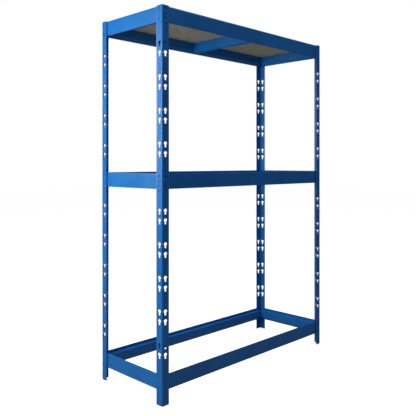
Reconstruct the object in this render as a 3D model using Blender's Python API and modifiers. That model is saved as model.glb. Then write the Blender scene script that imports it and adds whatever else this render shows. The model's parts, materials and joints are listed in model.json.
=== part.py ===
"""Tyre storage rack: slotted angle posts, hook-in box beams, and a board deck on the top level.

Metres, +Z up. X runs along the long beams, Y from front to rear, and Z is 0 on the floor.
The origin is on the floor, midway between the four posts.
"""
import math

import bmesh
import bpy
from mathutils import Matrix, Vector

# Driving sizes of the whole rack, over the outer faces of the posts.
RACK_WIDTH = 1.378
RACK_DEPTH = 0.512
RACK_HEIGHT = 1.980

# Posts: a rolled steel angle with pairs of keyholes down both flanges.
POST_FLANGE = 0.043
POST_WALL = 0.0020
POST_BEND_RADIUS = 0.0040
POST_BEND_STEPS = 3

# Keyholes: a wide, low mouth over a narrower slot.
KEYHOLE_PITCH = 0.166
KEYHOLE_PAIR_SPACING = 0.048
KEYHOLE_TOP_DROP = 0.011
KEYHOLE_HEIGHT = 0.029
KEYHOLE_MOUTH_WIDTH = 0.021
KEYHOLE_MOUTH_STEPS = 6
KEYHOLE_FOOT_MARGIN = 0.050

# Studs: a shank that fits the slot, and a head that passes the mouth.
STUD_SHANK = 0.0100
STUD_HEAD = 0.0150
STUD_HEAD_THICKNESS = 0.0025
STUD_SIDES = 8
SHANK_CLEARANCE = 0.0005
HEAD_CLEARANCE = 0.0010

# Beams: one folded strip, with a rebate for a deck along the top of the inner side,
# and a slope from the narrow underside up to the inner wall.
BEAM_DEPTH = 0.079
BEAM_BOX_WIDTH = 0.028
BEAM_BOTTOM_WIDTH = 0.013
BEAM_SLOPE_RISE = 0.017
BEAM_WALL = 0.0015
BEAM_TOP_DROP = 0.002
BEAM_SEAM_GAP = 0.0003
BEAM_END_INSET = 0.0080
BEAM_CORNER_GAP = 0.0014

# Connector plates: one welded inside the end of each beam, and each carries two studs.
PLATE_WALL = 0.0025
PLATE_END_INSET = 0.0070
PLATE_FLANGE_MARGIN = 0.0020
PLATE_BELOW_STUD = 0.0100
PLATE_BELOW_BEAM_TOP = 0.0120

# Deck of the top level, and the tie bar that holds it up at mid width.
BOARD_THICKNESS = 0.015
BOARD_EDGE_CLEARANCE = 0.0010
TIE_WIDTH = 0.028
TIE_WALL = 0.0015
TIE_BOTTOM_RISE = 0.0020
TIE_TAB_LENGTH = 0.0140
TIE_TAB_WIDTH = 0.020
TIE_END_CLEARANCE = 0.0005

# Which pair of keyholes, counted from the top, carries the middle level.
MIDDLE_PAIR = 5

# Gap between pieces that touch on the real rack.
TOUCH = 0.0003
# How far a cutter runs past the face that it cuts.
CUT_PAST = 0.005
# Corners closer than this are one corner, and faces nearer to flat than this are one face.
MERGE_DISTANCE = 0.00001
FLAT_ANGLE = math.radians(1)

# Sizes that follow from those above.
SLOT_WIDTH = STUD_SHANK + 2 * SHANK_CLEARANCE
MOUTH_HEIGHT = STUD_HEAD + 2 * HEAD_CLEARANCE
KEYHOLE_FROM_CORNER = POST_FLANGE / 2
PLATE_OUTER = POST_WALL + TOUCH
BEAM_OUTER = PLATE_OUTER + PLATE_WALL + TOUCH
BEAM_INNER = BEAM_OUTER + BEAM_BOX_WIDTH
REBATE = TOUCH + TIE_WALL + TOUCH + BOARD_THICKNESS
LEDGE_HEIGHT = BEAM_DEPTH - REBATE
STUD_BELOW_KEYHOLE_TOP = KEYHOLE_HEIGHT - TOUCH - STUD_SHANK / 2
TOP_BEAM_TOP = RACK_HEIGHT - BEAM_TOP_DROP
FIRST_KEYHOLE_TOP = RACK_HEIGHT - KEYHOLE_TOP_DROP
STUD_BELOW_BEAM_TOP = TOP_BEAM_TOP - FIRST_KEYHOLE_TOP + STUD_BELOW_KEYHOLE_TOP
LOWEST_PAIR_ROOM = KEYHOLE_PAIR_SPACING + KEYHOLE_HEIGHT + KEYHOLE_FOOT_MARGIN
PAIR_COUNT = 1 + int((FIRST_KEYHOLE_TOP - LOWEST_PAIR_ROOM) / KEYHOLE_PITCH)
BOTTOM_PAIR = PAIR_COUNT - 1

# Powder coat and chipboard: linear colour and roughness.
BLUE_COAT = (0.024, 0.165, 0.440, 1.0)
COAT_ROUGHNESS = 0.38
CHIPBOARD = (0.520, 0.420, 0.280, 1.0)
CHIPBOARD_ROUGHNESS = 0.75


def clear_scene():
    """Remove every object that the file opened with."""
    for item in list(bpy.data.objects):
        bpy.data.objects.remove(item, do_unlink=True)


def new_collection(name):
    """Make a collection in the scene."""
    collection = bpy.data.collections.new(name)
    bpy.context.scene.collection.children.link(collection)
    return collection


def make_material(name, colour, roughness):
    """A Principled material for one finish of one piece."""
    material = bpy.data.materials.new(name)
    material.use_nodes = True
    shader = material.node_tree.nodes["Principled BSDF"]
    shader.inputs["Base Color"].default_value = colour
    shader.inputs["Roughness"].default_value = roughness
    return material


def coat_material(name):
    """Satin blue powder coat over steel."""
    return make_material(name + "_coat", BLUE_COAT, COAT_ROUGHNESS)


def object_from_bmesh(shape, name, collection):
    """Turn a bmesh into an object of a collection."""
    mesh = bpy.data.meshes.new(name)
    bmesh.ops.recalc_face_normals(shape, faces=shape.faces)
    shape.to_mesh(mesh)
    shape.free()
    item = bpy.data.objects.new(name, mesh)
    collection.objects.link(item)
    return item


def cutter_from_bmesh(shape, name):
    """A hidden wire object that only cuts or joins."""
    item = object_from_bmesh(shape, name, CUTTERS)
    item.display_type = "WIRE"
    item.hide_render = True
    return item


def add_boolean(item, tool, operation):
    """Cut a tool from an object, or join it on."""
    modifier = item.modifiers.new(operation.lower(), "BOOLEAN")
    modifier.operation = operation
    modifier.solver = "EXACT"
    modifier.object = tool
    return modifier


def add_solidify(item, thickness):
    """Give a folded sheet its wall, on the side away from its normals."""
    modifier = item.modifiers.new("wall", "SOLIDIFY")
    modifier.thickness = thickness
    modifier.offset = -1.0
    modifier.use_even_offset = True
    return modifier


def finished_mesh(item):
    """The mesh that an object's modifiers give, as its own mesh."""
    graph = bpy.context.evaluated_depsgraph_get()
    return bpy.data.meshes.new_from_object(item.evaluated_get(graph))


def sheet(points, direction):
    """A bmesh sheet: a polyline of points swept along a direction."""
    shape = bmesh.new()
    corners = [shape.verts.new(point) for point in points]
    edges = [shape.edges.new(pair) for pair in zip(corners, corners[1:])]
    swept = bmesh.ops.extrude_edge_only(shape, edges=edges)
    moved = [part for part in swept["geom"] if isinstance(part, bmesh.types.BMVert)]
    bmesh.ops.translate(shape, verts=moved, vec=direction)
    return shape


def sheet_object(points, direction, side, wall, name):
    """A folded sheet: its face that lies furthest to one side looks that way, the wall behind it."""
    mesh = bpy.data.meshes.new(name)
    shape = sheet(points, direction)
    bmesh.ops.recalc_face_normals(shape, faces=shape.faces)
    outermost = max(shape.faces, key=lambda face: face.calc_center_median().dot(side))
    if outermost.normal.dot(side) < 0:
        bmesh.ops.reverse_faces(shape, faces=shape.faces)
    shape.to_mesh(mesh)
    shape.free()
    item = bpy.data.objects.new(name, mesh)
    CUTTERS.objects.link(item)
    item.display_type = "WIRE"
    item.hide_render = True
    add_solidify(item, wall)
    return item


def add_block(shape, low, high):
    """Add a box between two corners to a bmesh."""
    size = Vector(high) - Vector(low)
    middle = (Vector(high) + Vector(low)) / 2
    place = Matrix.Translation(middle) @ Matrix.Diagonal(size).to_4x4()
    return bmesh.ops.create_cube(shape, size=1.0, matrix=place)


def keyhole_outline():
    """Corners of one keyhole, across and up from the top of its mouth."""
    half_width = KEYHOLE_MOUTH_WIDTH / 2
    half_height = MOUTH_HEIGHT / 2
    half_slot = SLOT_WIDTH / 2
    below = math.asin(half_slot / half_width)
    start = below - math.pi / 2
    sweep = 2 * math.pi - 2 * below
    corners = []
    for step in range(KEYHOLE_MOUTH_STEPS + 1):
        angle = start + sweep * step / KEYHOLE_MOUTH_STEPS
        up = half_height * math.sin(angle) - half_height
        corners.append((half_width * math.cos(angle), up))
    corners.append((-half_slot, -KEYHOLE_HEIGHT))
    corners.append((half_slot, -KEYHOLE_HEIGHT))
    return corners


def keyhole_tops():
    """Height of the top of every keyhole, from the highest down."""
    tops = []
    for pair in range(PAIR_COUNT):
        upper = FIRST_KEYHOLE_TOP - pair * KEYHOLE_PITCH
        tops.append(upper)
        tops.append(upper - KEYHOLE_PAIR_SPACING)
    return tops


def add_keyhole(shape, place):
    """Add one keyhole-shaped prism, whose outline lies in the X-Z plane before it is placed."""
    corners = []
    for across, up in keyhole_outline():
        corners.append(shape.verts.new(place @ Vector((across, -CUT_PAST, up))))
    face = shape.faces.new(corners)
    swept = bmesh.ops.extrude_face_region(shape, geom=[face])
    moved = [part for part in swept["geom"] if isinstance(part, bmesh.types.BMVert)]
    reach = place.to_3x3() @ Vector((0, 2 * CUT_PAST, 0))
    bmesh.ops.translate(shape, verts=moved, vec=reach)


def keyhole_cutter():
    """All the keyholes of a post whose outer corner is the Z axis."""
    shape = bmesh.new()
    to_side = Matrix.Rotation(math.radians(90), 4, "Z")
    for top in keyhole_tops():
        add_keyhole(shape, Matrix.Translation((KEYHOLE_FROM_CORNER, 0, top)))
        add_keyhole(shape, Matrix.Translation((0, KEYHOLE_FROM_CORNER, top)) @ to_side)
    return cutter_from_bmesh(shape, "keyhole_cutter")


def post_outline():
    """The outer face of a post in plan: flange, rounded corner, flange."""
    outline = [(POST_FLANGE, 0.0)]
    for step in range(POST_BEND_STEPS + 1):
        angle = math.radians(270) - math.radians(90) * step / POST_BEND_STEPS
        across = POST_BEND_RADIUS + POST_BEND_RADIUS * math.cos(angle)
        back = POST_BEND_RADIUS + POST_BEND_RADIUS * math.sin(angle)
        outline.append((across, back))
    outline.append((0.0, POST_FLANGE))
    return outline


def post_mesh():
    """One angle post with its keyholes cut, its outer corner on the Z axis."""
    points = [(across, back, 0.0) for across, back in post_outline()]
    rise = Vector((0, 0, RACK_HEIGHT))
    blank = sheet_object(points, rise, Vector((0, -1, 0)), POST_WALL, "post_blank")
    add_boolean(blank, keyhole_cutter(), "DIFFERENCE")
    mesh = finished_mesh(blank)
    bpy.data.objects.remove(blank, do_unlink=True)
    return mesh


def beam_points(half_length):
    """The outer face of a beam's section, from its top edge round to the seam of the ledge."""
    seam = BEAM_OUTER + BEAM_WALL + BEAM_SEAM_GAP
    profile = [
        (BEAM_OUTER, BEAM_DEPTH),
        (BEAM_OUTER, 0.0),
        (BEAM_OUTER + BEAM_BOTTOM_WIDTH, 0.0),
        (BEAM_INNER, BEAM_SLOPE_RISE),
        (BEAM_INNER, LEDGE_HEIGHT),
        (seam, LEDGE_HEIGHT),
    ]
    return [(-half_length, back, up) for back, up in profile]


def end_cutter(half_length, box_half, name):
    """Two blocks that cut the box back at both ends and leave the outer wall."""
    shape = bmesh.new()
    inside = BEAM_OUTER + BEAM_WALL + BEAM_SEAM_GAP / 2
    past = half_length + CUT_PAST
    back = BEAM_INNER + CUT_PAST
    top = BEAM_DEPTH + CUT_PAST
    add_block(shape, (box_half, inside, -CUT_PAST), (past, back, top))
    add_block(shape, (-past, inside, -CUT_PAST), (-box_half, back, top))
    return cutter_from_bmesh(shape, name)


def beam_mesh(span, name):
    """One beam along X, its post's outer face at Y = 0, standing on Z = 0, for posts a span apart."""
    half_length = span / 2 - BEAM_END_INSET
    box_half = span / 2 - BEAM_INNER - BEAM_CORNER_GAP
    length = Vector((2 * half_length, 0, 0))
    blank = sheet_object(beam_points(half_length), length, Vector((0, -1, 0)), BEAM_WALL, name)
    add_boolean(blank, end_cutter(half_length, box_half, name + "_end_cutter"), "DIFFERENCE")
    mesh = finished_mesh(blank)
    bpy.data.objects.remove(blank, do_unlink=True)
    return mesh


def add_stud(shape, across, up):
    """Add a stud that points to -Y, its head outside the post's flange."""
    root = PLATE_OUTER + PLATE_WALL / 2
    neck = -TOUCH
    profile = [
        (0.0, root),
        (STUD_SHANK / 2, root),
        (STUD_SHANK / 2, neck),
        (STUD_HEAD / 2, neck),
        (STUD_HEAD / 2, neck - STUD_HEAD_THICKNESS),
        (0.0, neck - STUD_HEAD_THICKNESS),
    ]
    centre = Vector((across, 0, up))
    corners = [shape.verts.new(centre + Vector((reach, along, 0))) for reach, along in profile]
    edges = [shape.edges.new(pair) for pair in zip(corners, corners[1:])]
    bmesh.ops.spin(
        shape,
        geom=corners + edges,
        cent=centre,
        axis=(0, 1, 0),
        angle=math.radians(360),
        steps=STUD_SIDES,
        use_merge=True,
        use_duplicate=False,
    )
    bmesh.ops.remove_doubles(shape, verts=shape.verts, dist=MERGE_DISTANCE)
    bmesh.ops.dissolve_limit(
        shape,
        angle_limit=FLAT_ANGLE,
        verts=shape.verts,
        edges=shape.edges,
    )


def connector_mesh():
    """The plate and studs for a beam's left end, the post's outer corner at X = 0 and Y = 0."""
    shape = bmesh.new()
    upper = BEAM_DEPTH - STUD_BELOW_BEAM_TOP
    lower = upper - KEYHOLE_PAIR_SPACING
    low = (PLATE_END_INSET, PLATE_OUTER, lower - PLATE_BELOW_STUD)
    high = (
        POST_FLANGE - PLATE_FLANGE_MARGIN,
        PLATE_OUTER + PLATE_WALL,
        BEAM_DEPTH - PLATE_BELOW_BEAM_TOP,
    )
    add_block(shape, low, high)
    plate = object_from_bmesh(shape, "connector_blank", CUTTERS)
    plate.display_type = "WIRE"
    plate.hide_render = True
    studs = bmesh.new()
    add_stud(studs, KEYHOLE_FROM_CORNER, upper)
    add_stud(studs, KEYHOLE_FROM_CORNER, lower)
    add_boolean(plate, cutter_from_bmesh(studs, "stud_pair"), "UNION")
    mesh = finished_mesh(plate)
    bpy.data.objects.remove(plate, do_unlink=True)
    return mesh


def mirrored_mesh(mesh, name):
    """The same piece for the other hand, mirrored across X = 0."""
    shape = bmesh.new()
    shape.from_mesh(mesh)
    bmesh.ops.scale(shape, vec=(-1, 1, 1), verts=shape.verts)
    bmesh.ops.reverse_faces(shape, faces=shape.faces)
    other = bpy.data.meshes.new(name)
    shape.to_mesh(other)
    shape.free()
    return other


def place_piece(mesh, name, location, turn):
    """Put a piece in the rack, turned about Z by a number of degrees."""
    item = bpy.data.objects.new(name, mesh.copy())
    item.location = location
    item.rotation_euler = (0, 0, math.radians(turn))
    item.data.materials.clear()
    item.data.materials.append(coat_material(name))
    item.data.shade_flat()
    PARTS.objects.link(item)
    return item


def make_posts():
    """The four angle posts, each turned so that its flanges face inwards."""
    mesh = post_mesh()
    half_x = RACK_WIDTH / 2
    half_y = RACK_DEPTH / 2
    place_piece(mesh, "post_front_left", (-half_x, -half_y, 0), 0)
    place_piece(mesh, "post_front_right", (half_x, -half_y, 0), 90)
    place_piece(mesh, "post_rear_right", (half_x, half_y, 0), 180)
    place_piece(mesh, "post_rear_left", (-half_x, half_y, 0), 270)


def make_level(level, pair):
    """Four beams and their eight connectors, hooked into one pair of keyholes on every post."""
    bottom = TOP_BEAM_TOP - pair * KEYHOLE_PITCH - BEAM_DEPTH
    sides = [
        ("front", LONG_BEAM, RACK_WIDTH, (0, -RACK_DEPTH / 2), 0),
        ("right", SHORT_BEAM, RACK_DEPTH, (RACK_WIDTH / 2, 0), 90),
        ("rear", LONG_BEAM, RACK_WIDTH, (0, RACK_DEPTH / 2), 180),
        ("left", SHORT_BEAM, RACK_DEPTH, (-RACK_WIDTH / 2, 0), 270),
    ]
    for side, mesh, span, middle, turn in sides:
        name = level + "_beam_" + side
        origin = Vector((middle[0], middle[1], bottom))
        place_piece(mesh, name, origin, turn)
        along = Matrix.Rotation(math.radians(turn), 3, "Z") @ Vector((span / 2, 0, 0))
        place_piece(CONNECTOR_A, name + "_connector_a", origin - along, turn)
        place_piece(CONNECTOR_B, name + "_connector_b", origin + along, turn)


def make_tie_bar():
    """The channel under the deck, with a tab at each end that rests on a long beam's ledge."""
    ledge = TOP_BEAM_TOP - BEAM_DEPTH + LEDGE_HEIGHT
    top = ledge + TOUCH + TIE_WALL
    bottom = TOP_BEAM_TOP - BEAM_DEPTH + TIE_BOTTOM_RISE
    half_body = RACK_DEPTH / 2 - BEAM_INNER - TIE_END_CLEARANCE
    half_tabs = RACK_DEPTH / 2 - BEAM_INNER + TIE_TAB_LENGTH
    half_width = TIE_WIDTH / 2
    points = [
        (-half_width, -half_tabs, bottom),
        (-half_width, -half_tabs, top),
        (half_width, -half_tabs, top),
        (half_width, -half_tabs, bottom),
    ]
    length = Vector((0, 2 * half_tabs, 0))
    blank = sheet_object(points, length, Vector((-1, 0, 0)), TIE_WALL, "tie_blank")
    shape = bmesh.new()
    outside = half_width + CUT_PAST
    past = half_tabs + CUT_PAST
    under_tab = ledge + TOUCH
    half_tab = TIE_TAB_WIDTH / 2
    for near, far in ((-past, -half_body), (half_body, past)):
        add_block(shape, (-outside, near, bottom - CUT_PAST), (outside, far, under_tab))
        add_block(shape, (-outside, near, under_tab - TOUCH), (-half_tab, far, top + CUT_PAST))
        add_block(shape, (half_tab, near, under_tab - TOUCH), (outside, far, top + CUT_PAST))
    tool = cutter_from_bmesh(shape, "tie_end_cutter")
    modifier = add_boolean(blank, tool, "DIFFERENCE")
    modifier.use_self = True
    mesh = finished_mesh(blank)
    bpy.data.objects.remove(blank, do_unlink=True)
    place_piece(mesh, "top_tie_bar", (0, 0, 0), 0)


def make_board():
    """The chipboard deck, lying in the rebate of the four top beams."""
    edge = BEAM_OUTER + BEAM_WALL + BOARD_EDGE_CLEARANCE
    half_x = RACK_WIDTH / 2 - edge
    half_y = RACK_DEPTH / 2 - edge
    low = TOP_BEAM_TOP - BOARD_THICKNESS
    shape = bmesh.new()
    add_block(shape, (-half_x, -half_y, low), (half_x, half_y, TOP_BEAM_TOP))
    item = object_from_bmesh(shape, "top_deck_board", PARTS)
    item.data.materials.append(make_material("deck_chipboard", CHIPBOARD, CHIPBOARD_ROUGHNESS))


clear_scene()
PARTS = new_collection("tyre_storage_rack")
CUTTERS = new_collection("cutters")
LONG_BEAM = beam_mesh(RACK_WIDTH, "long_beam")
SHORT_BEAM = beam_mesh(RACK_DEPTH, "short_beam")
CONNECTOR_A = connector_mesh()
CONNECTOR_B = mirrored_mesh(CONNECTOR_A, "connector_b")
make_posts()
make_level("top", 0)
make_level("middle", MIDDLE_PAIR)
make_level("bottom", BOTTOM_PAIR)
make_tie_bar()
make_board()
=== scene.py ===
# %% [markdown]
# # A boltless tyre rack
#
# The rack is four slotted angle posts, twelve folded beams that hook into them, a tie bar and a
# chipboard deck. The working model gives every piece its size, place and motion. This lesson
# builds the finer surface that the eye sees around that model: rounded folds, flared edges,
# domed studs, powder coat and chipboard.

import json
import math

import bmesh
import bpy
from mathutils import Matrix, Vector

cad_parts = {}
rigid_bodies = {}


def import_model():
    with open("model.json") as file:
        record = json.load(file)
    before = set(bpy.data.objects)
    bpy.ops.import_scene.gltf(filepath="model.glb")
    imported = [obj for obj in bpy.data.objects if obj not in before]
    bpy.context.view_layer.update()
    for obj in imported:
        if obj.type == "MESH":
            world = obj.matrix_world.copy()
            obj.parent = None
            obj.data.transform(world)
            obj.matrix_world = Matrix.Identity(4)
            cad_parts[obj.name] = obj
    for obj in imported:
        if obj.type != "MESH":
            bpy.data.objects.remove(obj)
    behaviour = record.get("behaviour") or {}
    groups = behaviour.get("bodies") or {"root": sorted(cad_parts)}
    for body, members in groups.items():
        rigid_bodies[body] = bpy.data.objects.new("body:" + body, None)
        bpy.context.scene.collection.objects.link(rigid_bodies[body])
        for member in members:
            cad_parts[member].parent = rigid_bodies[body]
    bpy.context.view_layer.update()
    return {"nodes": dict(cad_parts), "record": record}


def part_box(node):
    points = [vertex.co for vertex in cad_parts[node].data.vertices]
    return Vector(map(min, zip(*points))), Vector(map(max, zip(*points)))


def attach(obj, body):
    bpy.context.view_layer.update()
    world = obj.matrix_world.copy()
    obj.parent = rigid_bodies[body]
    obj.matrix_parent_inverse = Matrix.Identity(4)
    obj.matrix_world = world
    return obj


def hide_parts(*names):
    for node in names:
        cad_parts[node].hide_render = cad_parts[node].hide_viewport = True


for leftover in list(bpy.data.objects):
    bpy.data.objects.remove(leftover, do_unlink=True)
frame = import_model()

# %% [markdown]
# ## Sizes
#
# Nothing is placed by eye. The posts' and beams' boxes give the width, depth and height of the
# rack, and how far a beam sits behind the faces of the posts. Only the sizes that a box can't
# tell, such as the wall of the sheet or the shape of a keyhole, are written out here.

# %% Measure the posts and beams
POST_LOW, POST_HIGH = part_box("post_front_left")
HALF_WIDTH = -POST_LOW.x
HALF_DEPTH = -POST_LOW.y
RACK_HEIGHT = POST_HIGH.z
POST_FLANGE = POST_HIGH.x - POST_LOW.x
POST_WALL = 0.0020

BEAM_LOW, BEAM_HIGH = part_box("top_beam_front")
BEAM_OUTER = BEAM_LOW.y - POST_LOW.y
BEAM_INNER = BEAM_HIGH.y - POST_LOW.y
BEAM_DEPTH = BEAM_HIGH.z - BEAM_LOW.z
BEAM_WALL = 0.0015
MILLIMETRES = 1000


def in_millimetres(*sizes):
    """Sizes in metres as rounded millimetres, for printing."""
    return [round(MILLIMETRES * size, 1) for size in sizes]


print("rack, mm:", in_millimetres(2 * HALF_WIDTH, 2 * HALF_DEPTH, RACK_HEIGHT))
print("beam, mm:", in_millimetres(BEAM_OUTER, BEAM_INNER, BEAM_DEPTH))

# %% [markdown]
# ## Which piece moves with what
#
# Each new piece stands in for one node of the working model and rides on the same body. The
# record lists the nodes of every body, so a small table turned the other way round answers
# "which body does this node belong to?".

# %% Table of node to body
BODY_OF = {}
for body, members in frame["record"]["behaviour"]["bodies"].items():
    for node in members:
        BODY_OF[node] = body
print("nodes with a body:", len(BODY_OF))

# %% [markdown]
# ## A folded sheet
#
# Posts, beams and the tie bar are all steel strip, folded along straight lines. A sheet like
# that could be a box with its inside cut out, but then every bend would be sharp. Here the
# section is drawn as a line of a few corners, extruded along the piece, and every fold is
# bevelled to its bend radius. A Solidify modifier then gives the wall, behind the outer face.

# %% Draw, extrude and bend a sheet
FOLD_STEPS = 5


def folded_sheet(corners, direction, folds):
    """A sheet along a line of corners, extruded one way, with a bend at each inner corner."""
    shape = bmesh.new()
    line = [shape.verts.new(corner) for corner in corners]
    edges = [shape.edges.new(pair) for pair in zip(line, line[1:])]
    swept = bmesh.ops.extrude_edge_only(shape, edges=edges)
    moved = [part for part in swept["geom"] if isinstance(part, bmesh.types.BMVert)]
    bmesh.ops.translate(shape, verts=moved, vec=direction)
    for corner, setback in zip(line[1:-1], folds):
        crease = next(edge for edge in corner.link_edges if len(edge.link_faces) == 2)
        bmesh.ops.bevel(
            shape,
            geom=[crease],
            offset=setback,
            offset_type="OFFSET",
            affect="EDGES",
            segments=FOLD_STEPS,
            profile=0.5,
            material=-1,
        )
    return shape


def face_outwards(shape, side):
    """Turn a sheet's normals so that the face furthest to one side looks that way."""
    bmesh.ops.recalc_face_normals(shape, faces=shape.faces)
    outermost = max(shape.faces, key=lambda face: face.calc_center_median().dot(side))
    if outermost.normal.dot(side) < 0:
        bmesh.ops.reverse_faces(shape, faces=shape.faces)


# %% [markdown]
# ## From a bmesh to a finished mesh
#
# The modifiers are applied at once, because every piece has to sit at the origin with its place
# in its mesh. Edges sharper than 40 degrees stay sharp and the bends are smooth. A Weighted
# Normal modifier keeps the large flat faces flat right up to the bend, which plain smooth
# shading doesn't.

# %% Turn a bmesh into a mesh, and apply modifiers
SHARP_ANGLE = math.radians(40)
EASED_EDGE = 0.00035
EASED_STEPS = 2


def working_object(shape, name):
    """An object that is only there while its mesh is made."""
    mesh = bpy.data.meshes.new(name)
    shape.to_mesh(mesh)
    shape.free()
    item = bpy.data.objects.new(name, mesh)
    bpy.context.scene.collection.objects.link(item)
    return item


def applied_mesh(item):
    """The mesh that an object's modifiers give. The object itself is removed."""
    bpy.context.view_layer.update()
    graph = bpy.context.evaluated_depsgraph_get()
    mesh = bpy.data.meshes.new_from_object(item.evaluated_get(graph))
    bpy.data.objects.remove(item, do_unlink=True)
    return mesh


def shaded_mesh(mesh, name):
    """Smooth the bends of a mesh, keep its flat faces flat, and leave its corners sharp."""
    mesh.shade_smooth()
    mesh.set_sharp_from_angle(angle=SHARP_ANGLE)
    item = bpy.data.objects.new(name, mesh)
    bpy.context.scene.collection.objects.link(item)
    weighted = item.modifiers.new("flat faces", "WEIGHTED_NORMAL")
    weighted.keep_sharp = True
    finished = applied_mesh(item)
    finished.name = name
    return finished


def add_wall(item, thickness):
    """Give a sheet its wall, on the side away from its normals."""
    wall = item.modifiers.new("wall", "SOLIDIFY")
    wall.thickness = thickness
    wall.offset = -1.0
    wall.use_even_offset = True


def add_cut(item, tool):
    """Cut a closed tool out of an object."""
    cut = item.modifiers.new("cut", "BOOLEAN")
    cut.operation = "DIFFERENCE"
    cut.solver = "EXACT"
    cut.object = tool


def ease_edges(item):
    """Round the edges that the shears and punches left, as the coat does."""
    ease = item.modifiers.new("eased edges", "BEVEL")
    ease.width = EASED_EDGE
    ease.segments = EASED_STEPS
    ease.limit_method = "ANGLE"
    ease.angle_limit = SHARP_ANGLE


# %% [markdown]
# ## Colour
#
# Paint and board colours are easiest to choose as the hex values of a colour card. The shaders
# work in linear light, so one function turns the first into the second.

# %% Hex colour to linear
def linear(card):
    """Linear colour with alpha for a hex colour such as 'FFFFFF'."""
    channels = []
    for start in (0, 2, 4):
        value = int(card[start:start + 2], 16) / 255
        channels.append(value / 12.92 if value <= 0.04045 else ((value + 0.055) / 1.055) ** 2.4)
    return (*channels, 1.0)


# %% [markdown]
# ## One helper for shader nodes
#
# A node tree is a list of nodes, their settings and the links into their sockets. One function
# can say all of that: the settings go on the node, plain values go into its sockets, and another
# node's output is linked.

# %% Add a node
def start_material(name):
    """A new material with only an output and a Principled shader."""
    material = bpy.data.materials.new(name)
    material.use_nodes = True
    return material, material.node_tree.nodes["Principled BSDF"]


def add_node(material, kind, settings=None, inputs=None):
    """Add a node, set its properties, and fill its sockets with values or with other outputs."""
    node = material.node_tree.nodes.new(kind)
    for key, value in (settings or {}).items():
        setattr(node, key, value)
    fill_sockets(material, node, inputs or {})
    return node


def fill_sockets(material, node, inputs):
    """Put values or links into a node's sockets."""
    for key, value in inputs.items():
        if isinstance(value, bpy.types.NodeSocket):
            material.node_tree.links.new(value, node.inputs[key])
        else:
            node.inputs[key].default_value = value


def add_ramp(material, factor, stops):
    """A colour ramp between (position, colour) stops."""
    node = add_node(material, "ShaderNodeValToRGB", inputs={"Fac": factor})
    stop_list = node.color_ramp.elements
    while len(stop_list) < len(stops):
        stop_list.new(0.5)
    for stop, (position, colour) in zip(stop_list, stops):
        stop.position = position
        stop.color = colour
    return node


# %% [markdown]
# ## Powder coat
#
# The steel is coated with blue polyester powder, sprayed on dry and baked at about 180 degrees.
# It flows out to a satin skin some 0.08 mm thick with a faint "orange peel". The real peel has
# waves of about 2 mm, too fine to show across a rack, so it is drawn at 7 mm and very shallow.
# Where the skin runs thin over a sheared edge it is drawn a touch paler. That paler edge is
# partly thin coat and partly a painted highlight, the light that rounded edges catch. Handling
# leaves soft patches that are a little duller. Polyester is a dielectric with an IOR near 1.5.

# %% Blue powder coat
COAT_BLUE = "0D78C6"
COAT_DEEP = "0B6FBA"
# Paler blue for every edge: thin coat, and a painted highlight where edges catch the light.
COAT_THIN_EDGE_AND_HIGHLIGHT = "4690CC"
PEEL_WAVE = 0.007
HANDLING_PATCH = 0.16
EDGE_REACH = 0.0016
COAT_IOR = 1.5
PEEL_STRENGTH = 0.12
PEEL_HEIGHT = 0.00015

# Sockets of a Mix node by number, because its number and colour sockets share their names.
MIX_FACTOR = 0
MIX_FIRST_NUMBER = 2
MIX_SECOND_NUMBER = 3
MIX_NUMBER = 0
MIX_FIRST = 6
MIX_SECOND = 7
MIX_COLOUR = 2


def powder_coat(name, gloss_low, gloss_high):
    """Satin blue powder coat on folded steel, its roughness between two values."""
    material, shader = start_material(name)
    place = add_node(material, "ShaderNodeTexCoord").outputs["Object"]
    patches = add_node(
        material,
        "ShaderNodeTexNoise",
        inputs={"Vector": place, "Scale": 1 / HANDLING_PATCH, "Detail": 4.0, "Roughness": 0.55},
    ).outputs["Fac"]
    body = add_ramp(material, patches, [(0.35, linear(COAT_DEEP)), (0.65, linear(COAT_BLUE))])
    # A rounded normal differs from the true one only near an edge: thin coat there, and a painted
    # highlight.
    rounded = add_node(material, "ShaderNodeBevel", {"samples": 4}, {"Radius": EDGE_REACH})
    straight = add_node(material, "ShaderNodeNewGeometry")
    likeness = add_node(
        material,
        "ShaderNodeVectorMath",
        {"operation": "DOT_PRODUCT"},
        {0: rounded.outputs["Normal"], 1: straight.outputs["Normal"]},
    )
    # Mask of the paler edges, which are partly thin coat and partly painted highlight.
    thin_coat_and_highlight = add_ramp(
        material, likeness.outputs["Value"], [(0.80, (1, 1, 1, 1)), (0.99, (0, 0, 0, 1))]
    )
    colour = add_node(
        material,
        "ShaderNodeMix",
        {"data_type": "RGBA"},
        {
            MIX_FACTOR: thin_coat_and_highlight.outputs["Color"],
            MIX_FIRST: body.outputs["Color"],
            MIX_SECOND: linear(COAT_THIN_EDGE_AND_HIGHLIGHT),
        },
    )
    gloss = add_node(
        material,
        "ShaderNodeMapRange",
        inputs={
            "Value": patches,
            "From Min": 0.3,
            "From Max": 0.7,
            "To Min": gloss_low,
            "To Max": gloss_high,
        },
    )
    peel = add_node(
        material,
        "ShaderNodeTexNoise",
        inputs={"Vector": place, "Scale": 1 / PEEL_WAVE, "Detail": 2.0},
    )
    relief = add_node(
        material,
        "ShaderNodeBump",
        inputs={
            "Strength": PEEL_STRENGTH,
            "Distance": PEEL_HEIGHT,
            "Height": peel.outputs["Fac"],
        },
    )
    fill_sockets(
        material,
        shader,
        {
            "Base Color": colour.outputs[MIX_COLOUR],
            "Roughness": gloss.outputs["Result"],
            "Normal": relief.outputs["Normal"],
            "IOR": COAT_IOR,
        },
    )
    return material


POST_COAT = powder_coat("powder_coated_steel_post", 0.30, 0.40)
BEAM_COAT = powder_coat("powder_coated_steel_beam", 0.32, 0.42)
FITTING_COAT = powder_coat("powder_coated_steel_fitting", 0.28, 0.38)
print("coats:", POST_COAT.name, BEAM_COAT.name, FITTING_COAT.name)

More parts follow.
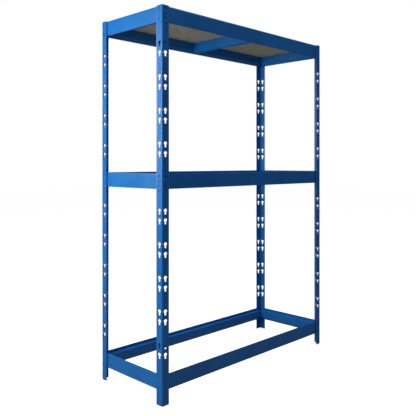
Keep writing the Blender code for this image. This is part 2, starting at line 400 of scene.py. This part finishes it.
# %% [markdown]
# ## Chipboard
#
# The deck is raw chipboard: softwood chips and resin, pressed hot and sanded. Its faces show
# chips a few millimetres across, each its own shade of straw to brown, with darker specks of
# bark. Voronoi cells give each chip one colour. The cells are stretched, because chips are
# longer than they are wide, and a second, finer layer stands for the dust between them.

# %% Raw chipboard
CHIP_WIDTH = 0.006
DUST_WIDTH = 0.0018
BOARD_PALE = "DAD6B8"
BOARD_MIDDLE = "C6C3A5"
BOARD_BROWN = "A49C7F"
BOARD_ROUGHNESS = 0.8
BOARD_IOR = 1.45
CHIP_STRETCH = (0.6, 1.0, 1.0)
DUST_SHARE = 0.35
SANDING_STRENGTH = 0.3
SANDING_HEIGHT = 0.0003


def chipboard(name):
    """Sanded raw chipboard with chips of several shades."""
    material, shader = start_material(name)
    place = add_node(material, "ShaderNodeTexCoord").outputs["Object"]
    stretched = add_node(
        material, "ShaderNodeMapping", inputs={"Vector": place, "Scale": CHIP_STRETCH}
    ).outputs["Vector"]
    chips = add_node(
        material,
        "ShaderNodeTexVoronoi",
        inputs={"Vector": stretched, "Scale": 1 / CHIP_WIDTH, "Randomness": 1.0},
    )
    dust = add_node(
        material,
        "ShaderNodeTexVoronoi",
        inputs={"Vector": stretched, "Scale": 1 / DUST_WIDTH, "Randomness": 1.0},
    )
    chip_shade = add_node(
        material, "ShaderNodeSeparateColor", inputs={"Color": chips.outputs["Color"]}
    )
    dust_shade = add_node(
        material, "ShaderNodeSeparateColor", inputs={"Color": dust.outputs["Color"]}
    )
    blended = add_node(
        material,
        "ShaderNodeMix",
        inputs={
            MIX_FACTOR: DUST_SHARE,
            MIX_FIRST_NUMBER: chip_shade.outputs["Red"],
            MIX_SECOND_NUMBER: dust_shade.outputs["Red"],
        },
    )
    colour = add_ramp(
        material,
        blended.outputs[MIX_NUMBER],
        [(0.10, linear(BOARD_BROWN)), (0.45, linear(BOARD_MIDDLE)), (0.85, linear(BOARD_PALE))],
    )
    relief = add_node(
        material,
        "ShaderNodeBump",
        inputs={
            "Strength": SANDING_STRENGTH,
            "Distance": SANDING_HEIGHT,
            "Height": dust.outputs["Distance"],
        },
    )
    fill_sockets(
        material,
        shader,
        {
            "Base Color": colour.outputs["Color"],
            "Roughness": BOARD_ROUGHNESS,
            "Normal": relief.outputs["Normal"],
            "IOR": BOARD_IOR,
        },
    )
    return material


DECK_BOARD = chipboard("raw_chipboard")
print("board:", DECK_BOARD.name)

# %% [markdown]
# ## Putting a piece in the rack
#
# A piece is made once, near the origin, and a copy of its mesh is moved to each place. The copy
# rides on its node's body, hides that node and wears the material it is given.

# %% Place a piece
PLACED = []


def place_piece(mesh, node, place, material):
    """Put a copy of a mesh where a node of the working model is."""
    copy = mesh.copy()
    copy.name = node + "_fine"
    copy.transform(place)
    copy.materials.clear()
    copy.materials.append(material)
    piece = bpy.data.objects.new(node + "_fine", copy)
    bpy.context.scene.collection.objects.link(piece)
    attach(piece, BODY_OF[node])
    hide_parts(node)
    PLACED.append(piece)
    return piece


def quarter_turns(count, location):
    """A place that is turned about Z by quarter turns."""
    return Matrix.Translation(location) @ Matrix.Rotation(math.radians(90 * count), 4, "Z")


# %% [markdown]
# ## Keyholes
#
# Down both flanges of a post runs a row of keyholes, in pairs: a wide mouth that lets a stud's
# head in, over a slot that only its shank fits. The heights aren't typed in. Two corners of
# each slot lie half a slot's width from the middle of the flange, so they can be picked out
# of the working model's post, and their heights are the slots' feet.

# %% Find the keyholes
KEYHOLE_FROM_CORNER = POST_FLANGE / 2
KEYHOLE_HEIGHT = 0.029
SLOT_WIDTH = 0.011
MOUTH_WIDTH = 0.021
MOUTH_HEIGHT = 0.017
SAME_PLACE = 0.0002
MERGE_DISTANCE = 0.00002


def keyhole_feet():
    """Heights of the slots' feet on the front left post's front flange, from the top down."""
    heights = set()
    for vertex in frame["nodes"]["post_front_left"].data.vertices:
        from_middle = abs(vertex.co.x - POST_LOW.x - KEYHOLE_FROM_CORNER)
        on_face = abs(vertex.co.y - POST_LOW.y) < SAME_PLACE
        if on_face and abs(from_middle - SLOT_WIDTH / 2) < SAME_PLACE:
            heights.add(round(vertex.co.z, 4))
    # Each slot gives two heights, its foot and where it meets the mouth.
    return sorted(sorted(heights)[0::2], reverse=True)


FEET = keyhole_feet()
print("keyholes in a flange:", len(FEET), "highest feet:", FEET[:2])

# %% [markdown]
# ## Posts
#
# A post is a rolled angle. Its two free edges are flared outwards a little, which stiffens them
# and gives each flange a narrow bright border. The keyholes are punched after rolling, so they
# are cut last: one tool holds every mouth and another every slot, because a cutter whose own
# parts overlap gives an untidy cut.

# %% Post
POST_BEND = 0.0045
FLARE_WIDTH = 0.0055
FLARE_RISE = 0.0013
FLARE_BEND = 0.0012
MOUTH_SIDES = 28
CUT_REACH = 0.006


def mouth_tool():
    """A short cylinder, wider than it is high, through both flanges at every mouth."""
    oval = Matrix.Diagonal((MOUTH_WIDTH / MOUTH_HEIGHT, MOUTH_WIDTH / MOUTH_HEIGHT, 1, 1))
    shape = bmesh.new()
    for foot in FEET:
        middle = foot + KEYHOLE_HEIGHT - MOUTH_HEIGHT / 2
        for turn, spot in (
            (Matrix.Rotation(math.radians(90), 4, "X"), (KEYHOLE_FROM_CORNER, 0, middle)),
            (Matrix.Rotation(math.radians(90), 4, "Y"), (0, KEYHOLE_FROM_CORNER, middle)),
        ):
            bmesh.ops.create_cone(
                shape,
                cap_ends=True,
                segments=MOUTH_SIDES,
                radius1=MOUTH_HEIGHT / 2,
                radius2=MOUTH_HEIGHT / 2,
                depth=2 * CUT_REACH,
                matrix=Matrix.Translation(spot) @ oval @ turn,
            )
    return working_object(shape, "mouth_tool")


def slot_tool():
    """A block through both flanges at every slot."""
    shape = bmesh.new()
    length = KEYHOLE_HEIGHT - MOUTH_HEIGHT / 2
    for foot in FEET:
        middle = foot + length / 2
        for size, spot in (
            ((SLOT_WIDTH, 2 * CUT_REACH, length), (KEYHOLE_FROM_CORNER, 0, middle)),
            ((2 * CUT_REACH, SLOT_WIDTH, length), (0, KEYHOLE_FROM_CORNER, middle)),
        ):
            place = Matrix.Translation(spot) @ Matrix.Diagonal(size).to_4x4()
            bmesh.ops.create_cube(shape, size=1.0, matrix=place)
    return working_object(shape, "slot_tool")


def post_mesh():
    """One post, its outer corner on the Z axis and its flanges along +X and +Y."""
    fold = POST_FLANGE - FLARE_WIDTH
    shape = folded_sheet(
        [
            (POST_FLANGE, -FLARE_RISE, 0),
            (fold, 0, 0),
            (0, 0, 0),
            (0, fold, 0),
            (-FLARE_RISE, POST_FLANGE, 0),
        ],
        (0, 0, RACK_HEIGHT),
        (FLARE_BEND, POST_BEND, FLARE_BEND),
    )
    face_outwards(shape, Vector((-1, -1, 0)))
    blank = working_object(shape, "post_blank")
    tools = [mouth_tool(), slot_tool()]
    add_wall(blank, POST_WALL)
    for tool in tools:
        add_cut(blank, tool)
    ease_edges(blank)
    mesh = applied_mesh(blank)
    for tool in tools:
        bpy.data.objects.remove(tool, do_unlink=True)
    return shaded_mesh(mesh, "post")


POST = post_mesh()
for turns, node, across, back in (
    (0, "post_front_left", -HALF_WIDTH, -HALF_DEPTH),
    (1, "post_front_right", HALF_WIDTH, -HALF_DEPTH),
    (2, "post_rear_right", HALF_WIDTH, HALF_DEPTH),
    (3, "post_rear_left", -HALF_WIDTH, HALF_DEPTH),
):
    place_piece(POST, node, quarter_turns(turns, (across, back, 0)), POST_COAT)
print("post faces:", len(POST.polygons))

# %% [markdown]
# ## Beams
#
# A beam is one strip, folded into a box with a rebate. From the top edge the strip goes down the
# outer wall, turns under, slopes up to the inner wall, climbs it, and comes back level to meet
# the outer wall: that level part is the ledge the deck lies on. The top few millimetres lean
# back, so a wheel's edge slides over them. At both ends the box is cut short and only the outer
# wall runs on, behind the post's flange.

# %% Beam
LEAN_HEIGHT = 0.0065
LEAN_BACK = 0.0020
BOTTOM_WIDTH = 0.013
SLOPE_RISE = 0.017
LEDGE_HEIGHT = 0.0619
SEAM_GAP = 0.0003
BOX_SHORT_OF_NEIGHBOUR = 0.0014
TIGHT_BEND = 0.0018
EASY_BEND = 0.0011


def cut_along(shape, spot, normal):
    """Add an edge loop where a plane crosses a shape."""
    whole = shape.verts[:] + shape.edges[:] + shape.faces[:]
    bmesh.ops.bisect_plane(
        shape, geom=whole, dist=MERGE_DISTANCE, plane_co=spot, plane_no=normal
    )


def remove_faces(shape, unwanted):
    """Delete the faces that a test picks out, with the edges and corners only they used."""
    found = [face for face in shape.faces if unwanted(face.calc_center_median())]
    bmesh.ops.delete(shape, geom=found, context="FACES")


def beam_mesh(half_length, half_span, name):
    """One beam along X, its post's outer face at Y = 0, standing on Z = 0."""
    seam = BEAM_OUTER + BEAM_WALL + SEAM_GAP
    section = [
        (BEAM_OUTER + LEAN_BACK, BEAM_DEPTH),
        (BEAM_OUTER, BEAM_DEPTH - LEAN_HEIGHT),
        (BEAM_OUTER, 0),
        (BEAM_OUTER + BOTTOM_WIDTH, 0),
        (BEAM_INNER, SLOPE_RISE),
        (BEAM_INNER, LEDGE_HEIGHT),
        (seam, LEDGE_HEIGHT),
    ]
    shape = folded_sheet(
        [(-half_length, back, up) for back, up in section],
        (2 * half_length, 0, 0),
        (EASY_BEND, TIGHT_BEND, EASY_BEND, EASY_BEND, TIGHT_BEND),
    )
    box_half = half_span - BEAM_INNER - BOX_SHORT_OF_NEIGHBOUR
    cut_along(shape, (box_half, 0, 0), (1, 0, 0))
    cut_along(shape, (-box_half, 0, 0), (1, 0, 0))
    wall_reach = BEAM_OUTER + LEAN_BACK
    remove_faces(
        shape,
        lambda middle: abs(middle.x) > box_half
        and (middle.y > wall_reach or middle.z < TIGHT_BEND),
    )
    face_outwards(shape, Vector((0, -1, 0)))
    blank = working_object(shape, name + "_blank")
    add_wall(blank, BEAM_WALL)
    ease_edges(blank)
    return shaded_mesh(applied_mesh(blank), name)


LONG_BEAM = beam_mesh(BEAM_HIGH.x, HALF_WIDTH, "long_beam")
SHORT_BEAM = beam_mesh(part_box("top_beam_left")[1].y, HALF_DEPTH, "short_beam")
print("faces of a long and a short beam:", len(LONG_BEAM.polygons), len(SHORT_BEAM.polygons))

# %% [markdown]
# ## Connectors
#
# Inside each beam end is a plate with two studs, riveted up tight. A stud is a turned piece, so
# it is a half section spun about its axis: a shank, and a low domed head that stays outside the
# post. The plate is a cube pulled to size with its corners rounded, and the two are joined by a
# union so that the connector is one closed skin. The other hand is its mirror image.

# %% Connector
PLATE_FRONT = 0.0023
PLATE_WALL = 0.0025
PLATE_CORNER = 0.003
STUD_SHANK = 0.0100
STUD_HEAD = 0.0150
HEAD_FRONT = -0.0028
HEAD_BACK = -0.0003
HEAD_EDGE = 0.0003
# Corners of the head's low dome: how far in from its rim, and how far out from the post.
DOME = ((0.0, 0.0013), (0.0008, 0.0021), (0.0028, 0.0026))
STUD_STEPS = 28
STUD_ABOVE_FOOT = 0.0053

PLATE_LOW, PLATE_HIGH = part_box("top_beam_front_connector_a")


def stud_pair():
    """Two studs that point to -Y, at the heights of the highest pair of keyholes."""
    shape = bmesh.new()
    half_section = [
        (0, PLATE_FRONT + PLATE_WALL / 2),
        (STUD_SHANK / 2, PLATE_FRONT + PLATE_WALL / 2),
        (STUD_SHANK / 2, HEAD_BACK),
        (STUD_HEAD / 2 - HEAD_EDGE, HEAD_BACK),
        (STUD_HEAD / 2, HEAD_BACK - HEAD_EDGE),
        *[(STUD_HEAD / 2 - inward, -outward) for inward, outward in DOME],
        (0, HEAD_FRONT),
    ]
    for foot in FEET[:2]:
        middle = Vector((KEYHOLE_FROM_CORNER, 0, foot + STUD_ABOVE_FOOT - BEAM_LOW.z))
        places = [middle + Vector((outward, along, 0)) for outward, along in half_section]
        corners = [shape.verts.new(place) for place in places]
        edges = [shape.edges.new(pair) for pair in zip(corners, corners[1:])]
        bmesh.ops.spin(
            shape,
            geom=corners + edges,
            cent=middle,
            axis=(0, 1, 0),
            angle=math.radians(360),
            steps=STUD_STEPS,
            use_merge=True,
            use_duplicate=False,
        )
    bmesh.ops.remove_doubles(shape, verts=shape.verts, dist=MERGE_DISTANCE)
    bmesh.ops.recalc_face_normals(shape, faces=shape.faces)
    return working_object(shape, "stud_pair")


def plate_blank():
    """The plate, with rounded corners, for a beam's left end."""
    shape = bmesh.new()
    plate_back = PLATE_FRONT + PLATE_WALL
    low = Vector((PLATE_LOW.x - POST_LOW.x, PLATE_FRONT, PLATE_LOW.z - BEAM_LOW.z))
    high = Vector((PLATE_HIGH.x - POST_LOW.x, plate_back, PLATE_HIGH.z - BEAM_LOW.z))
    place = Matrix.Translation((low + high) / 2) @ Matrix.Diagonal(high - low).to_4x4()
    bmesh.ops.create_cube(shape, size=1.0, matrix=place)
    corners = [
        edge
        for edge in shape.edges
        if abs(edge.verts[0].co.y - edge.verts[1].co.y) > SAME_PLACE
    ]
    bmesh.ops.bevel(
        shape,
        geom=corners,
        offset=PLATE_CORNER,
        offset_type="OFFSET",
        affect="EDGES",
        segments=4,
        profile=0.5,
        material=-1,
    )
    return working_object(shape, "plate_blank")


def connector_mesh():
    """A plate and its two studs as one closed skin, the post's outer corner at the origin."""
    blank = plate_blank()
    studs = stud_pair()
    join = blank.modifiers.new("join", "BOOLEAN")
    join.operation = "UNION"
    join.solver = "EXACT"
    join.object = studs
    mesh = applied_mesh(blank)
    bpy.data.objects.remove(studs, do_unlink=True)
    return mesh


def mirrored(mesh, name):
    """The same piece for the other hand, mirrored across X = 0."""
    shape = bmesh.new()
    shape.from_mesh(mesh)
    bmesh.ops.scale(shape, vec=(-1, 1, 1), verts=shape.verts)
    bmesh.ops.reverse_faces(shape, faces=shape.faces)
    other = bpy.data.meshes.new(name)
    shape.to_mesh(other)
    shape.free()
    return other


LEFT_HAND = connector_mesh()
RIGHT_HAND = mirrored(LEFT_HAND, "right_hand")
LEFT_HAND = shaded_mesh(LEFT_HAND, "left_hand_connector")
RIGHT_HAND = shaded_mesh(RIGHT_HAND, "right_hand_connector")
print("connector faces:", len(LEFT_HAND.polygons), len(RIGHT_HAND.polygons))

# %% [markdown]
# ## Hooking the beams in
#
# Every level has four beams, each turned a quarter from the last. A beam and its two connectors
# share one turn, and the height of the level comes from the working model's beam.

# %% Beams and connectors on three levels
SIDES = (
    ("front", LONG_BEAM, 0, HALF_WIDTH, (0, -HALF_DEPTH)),
    ("right", SHORT_BEAM, 1, HALF_DEPTH, (HALF_WIDTH, 0)),
    ("rear", LONG_BEAM, 2, HALF_WIDTH, (0, HALF_DEPTH)),
    ("left", SHORT_BEAM, 3, HALF_DEPTH, (-HALF_WIDTH, 0)),
)
for level in ("top", "middle", "bottom"):
    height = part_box(level + "_beam_front")[0].z
    for side, mesh, turns, half_span, (across, back) in SIDES:
        beam = level + "_beam_" + side
        middle = quarter_turns(turns, (across, back, height))
        left_end = middle @ Matrix.Translation((-half_span, 0, 0))
        right_end = middle @ Matrix.Translation((half_span, 0, 0))
        place_piece(mesh, beam, middle, BEAM_COAT)
        place_piece(LEFT_HAND, beam + "_connector_a", left_end, FITTING_COAT)
        place_piece(RIGHT_HAND, beam + "_connector_b", right_end, FITTING_COAT)
    print(level, "level from", round(height, 3), "m")

# %% [markdown]
# ## Tie bar
#
# Half way along the top level a channel runs from beam to beam, under the deck. It is folded
# like the beams. Past the box of each beam only a flat tab is left of it, and the tab
# lies on the ledge.

# %% Tie bar
TIE_LOW, TIE_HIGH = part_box("top_tie_bar")
TIE_WALL = 0.0015
TAB_HALF_WIDTH = 0.010
TIE_END_CLEARANCE = 0.0005


def tie_bar_mesh():
    """The channel, open side down, with a tab at each end."""
    shape = folded_sheet(
        [
            (TIE_LOW.x, TIE_LOW.y, TIE_LOW.z),
            (TIE_LOW.x, TIE_LOW.y, TIE_HIGH.z),
            (TIE_HIGH.x, TIE_LOW.y, TIE_HIGH.z),
            (TIE_HIGH.x, TIE_LOW.y, TIE_LOW.z),
        ],
        (0, TIE_HIGH.y - TIE_LOW.y, 0),
        (TIGHT_BEND, TIGHT_BEND),
    )
    half_body = HALF_DEPTH - BEAM_INNER - TIE_END_CLEARANCE
    for spot, normal in (
        ((0, half_body, 0), (0, 1, 0)),
        ((0, -half_body, 0), (0, 1, 0)),
        ((TAB_HALF_WIDTH, 0, 0), (1, 0, 0)),
        ((-TAB_HALF_WIDTH, 0, 0), (1, 0, 0)),
    ):
        cut_along(shape, spot, normal)
    remove_faces(
        shape, lambda middle: abs(middle.y) > half_body and abs(middle.x) > TAB_HALF_WIDTH
    )
    face_outwards(shape, Vector((-1, 0, 0)))
    blank = working_object(shape, "tie_bar_blank")
    add_wall(blank, TIE_WALL)
    ease_edges(blank)
    return shaded_mesh(applied_mesh(blank), "tie_bar")


TIE_BAR = tie_bar_mesh()
place_piece(TIE_BAR, "top_tie_bar", Matrix.Identity(4), FITTING_COAT)
print("tie bar faces:", len(TIE_BAR.polygons))

# %% [markdown]
# ## Deck
#
# The board is sawn, so it is a cube pulled to size with its arrises just broken. It is kept a
# little smaller than the rebate, clear of the leaning top edge of the beams.

# %% Deck board
BOARD_LOW, BOARD_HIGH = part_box("top_deck_board")
BOARD_TRIM = 0.0012
ARRIS = 0.0006


def board_mesh():
    """The sawn board."""
    shape = bmesh.new()
    trim = Vector((BOARD_TRIM, BOARD_TRIM, 0))
    low = BOARD_LOW + trim
    high = BOARD_HIGH - trim
    place = Matrix.Translation((low + high) / 2) @ Matrix.Diagonal(high - low).to_4x4()
    bmesh.ops.create_cube(shape, size=1.0, matrix=place)
    bmesh.ops.bevel(
        shape,
        geom=shape.edges[:],
        offset=ARRIS,
        offset_type="OFFSET",
        affect="EDGES",
        segments=2,
        profile=0.5,
        material=-1,
    )
    mesh = bpy.data.meshes.new("board")
    shape.to_mesh(mesh)
    shape.free()
    return shaded_mesh(mesh, "board")


place_piece(board_mesh(), "top_deck_board", Matrix.Identity(4), DECK_BOARD)
print("pieces placed:", len(PLACED))

# %% [markdown]
# ## Floor
#
# The rack stands on a plain pale floor, a wide matt sheet of background paper. The camera sees
# it as bright paper that runs into the white surroundings. What it throws back up at the rack
# is kept lower, as a studio does with a grey cloth just outside the picture, so that the deck's
# underside and the deep blue sides aren't washed out. It is part of the stage, not of the rack.

# %% Floor
FLOOR_SIZE = 40.0
FLOOR_PALE = "F6F6F4"
FLOOR_SHADE = "F2F2F0"
FLOOR_BOUNCE = "909090"
FLOOR_LIFT = 0.86
FLOOR_ROUGHNESS = 0.9
PAPER_IOR = 1.45
MOTTLES_PER_METRE = 3.0


def floor_paper(name):
    """Matt background paper with the faintest mottle: bright to the camera, grey to the rack."""
    material, shader = start_material(name)
    place = add_node(material, "ShaderNodeTexCoord").outputs["Object"]
    mottle = add_node(
        material,
        "ShaderNodeTexNoise",
        inputs={"Vector": place, "Scale": MOTTLES_PER_METRE, "Detail": 3.0},
    )
    pale = add_ramp(
        material,
        mottle.outputs["Fac"],
        [(0.35, linear(FLOOR_SHADE)), (0.65, linear(FLOOR_PALE))],
    )
    seen = add_node(material, "ShaderNodeLightPath").outputs["Is Camera Ray"]
    colour = add_node(
        material,
        "ShaderNodeMix",
        {"data_type": "RGBA"},
        {
            MIX_FACTOR: seen,
            MIX_FIRST: linear(FLOOR_BOUNCE),
            MIX_SECOND: pale.outputs["Color"],
        },
    )
    glow = add_node(
        material,
        "ShaderNodeMapRange",
        inputs={"Value": seen, "To Min": 0.0, "To Max": FLOOR_LIFT},
    )
    fill_sockets(
        material,
        shader,
        {
            "Base Color": colour.outputs[MIX_COLOUR],
            "Roughness": FLOOR_ROUGHNESS,
            "IOR": PAPER_IOR,
            "Emission Color": linear(FLOOR_PALE),
            "Emission Strength": glow.outputs["Result"],
        },
    )
    return material


floor_shape = bmesh.new()
bmesh.ops.create_grid(floor_shape, x_segments=1, y_segments=1, size=FLOOR_SIZE / 2)
floor = working_object(floor_shape, "floor")
floor.data.materials.append(floor_paper("matt_background_paper"))
print("floor, m:", FLOOR_SIZE)

# %% [markdown]
# ## Light
#
# One large softbox stands to the left, level with the top of the rack, so the left sides are
# bright at the top and fade towards the floor while the long sides stay deep blue. A wide panel
# overhead lights the floor, and the surroundings give a low fill, a little stronger from above
# and faintly violet, as shade is in daylight. The camera itself sees them as plain white.

# %% Softbox, overhead panel and surroundings
KEY_PLACE = (-2.4, 0.4, 1.65)
KEY_TARGET = (-0.7, 0, 1.5)
KEY_SIZE = (1.7, 1.2)
KEY_POWER = 44
OVERHEAD_PLACE = (0.0, -0.6, 4.4)
OVERHEAD_SIZE = (3.5, 3.5)
OVERHEAD_POWER = 60
FILL_COLOUR = "E4E2FF"
FILL_LOW = 0.095
FILL_OVERHEAD = 0.60
CAP_START = 0.55


def softbox(name, location, target, size, power):
    """A rectangular area light that points at a target."""
    lamp = bpy.data.lights.new(name, "AREA")
    lamp.shape = "RECTANGLE"
    lamp.size, lamp.size_y = size
    lamp.energy = power
    item = bpy.data.objects.new(name, lamp)
    item.location = location
    aim = Vector(target) - Vector(location)
    item.rotation_euler = aim.to_track_quat("-Z", "Y").to_euler()
    item.visible_camera = False
    bpy.context.scene.collection.objects.link(item)
    return item


softbox("left_softbox", KEY_PLACE, KEY_TARGET, KEY_SIZE, KEY_POWER)
softbox("overhead_panel", OVERHEAD_PLACE, (0, 0, 0), OVERHEAD_SIZE, OVERHEAD_POWER)

world = bpy.data.worlds.new("white_surroundings")
bpy.context.scene.world = world
world.use_nodes = True
background = world.node_tree.nodes["Background"]
direction = add_node(world, "ShaderNodeTexCoord").outputs["Generated"]
upward = add_node(world, "ShaderNodeSeparateXYZ", inputs={"Vector": direction}).outputs["Z"]
fill = add_node(
    world,
    "ShaderNodeMapRange",
    {"interpolation_type": "SMOOTHSTEP"},
    {"Value": upward, "From Min": CAP_START, "To Min": FILL_LOW, "To Max": FILL_OVERHEAD},
)
seen = add_node(world, "ShaderNodeLightPath").outputs["Is Camera Ray"]
tint = add_node(
    world,
    "ShaderNodeMix",
    {"data_type": "RGBA"},
    {MIX_FACTOR: seen, MIX_FIRST: linear(FILL_COLOUR), MIX_SECOND: (1, 1, 1, 1)},
).outputs[MIX_COLOUR]
strength = add_node(
    world,
    "ShaderNodeMapRange",
    inputs={"Value": seen, "To Min": fill.outputs["Result"], "To Max": 1.0},
).outputs["Result"]
fill_sockets(world, background, {"Color": tint, "Strength": strength})

# %% [markdown]
# ## Camera
#
# The camera stands in front and to the left, just above the middle level and held level, so the
# posts stay upright. A small downward shift of the lens brings the foot of the near post into the
# frame instead of a tilt.

# %% Camera
CAMERA_PLACE = (-2.4804, -2.3485, 1.1948)
CAMERA_TURN = -45.25
CAMERA_LENS = 48.39
CAMERA_SHIFT = -0.1063
SENSOR_WIDTH = 36.0

camera_data = bpy.data.cameras.new("camera")
camera_data.sensor_width = SENSOR_WIDTH
camera_data.lens = CAMERA_LENS
camera_data.shift_y = CAMERA_SHIFT
camera = bpy.data.objects.new("camera", camera_data)
camera.location = CAMERA_PLACE
camera.rotation_euler = (math.radians(90), 0, math.radians(CAMERA_TURN))
bpy.context.scene.collection.objects.link(camera)
bpy.context.scene.camera = camera
bpy.context.scene.view_settings.view_transform = "Standard"
print("camera:", CAMERA_PLACE)
